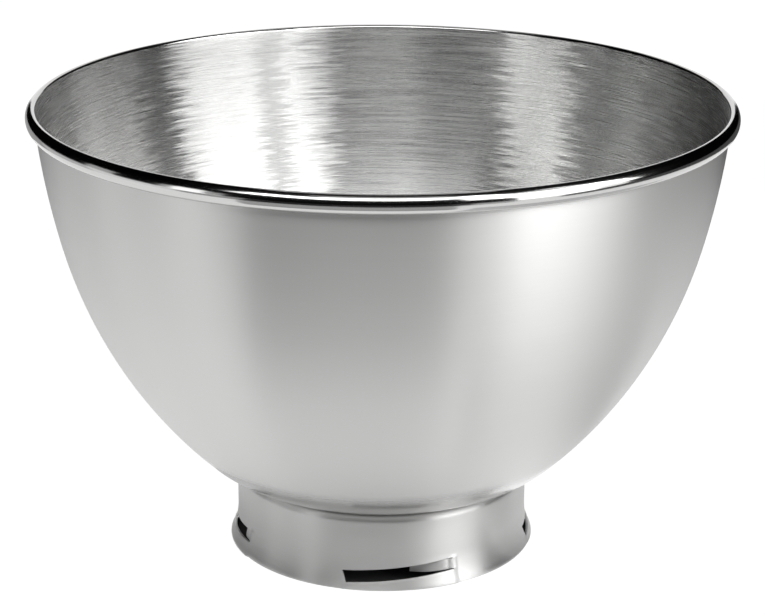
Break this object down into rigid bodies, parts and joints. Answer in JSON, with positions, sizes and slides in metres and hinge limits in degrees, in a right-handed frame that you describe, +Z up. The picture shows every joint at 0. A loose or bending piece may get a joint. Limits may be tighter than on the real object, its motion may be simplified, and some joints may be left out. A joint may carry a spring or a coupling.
{
  "type": "stand mixer bowl",
  "caption": "Round stainless steel mixing bowl for a stand mixer, with a rolled rim and a twist-lock foot ring.",
  "frame": {"origin": "centre of the circle that the foot ring stands on, at the level it rests on", "axes": "+Z up along the axis of the bowl, -Y to the front, where one lock slot faces"},
  "size_m": [0.224, 0.224, 0.1474],
  "materials": {
    "bowl_stainless": "brushed inside, satin outside, polished on the rolled rim",
    "foot_stainless": "satin"
  },
  "bodies": {
    "root": {"bowl_shell": "bowl_stainless", "foot_ring": "foot_stainless"}
  },
  "joints": []
}
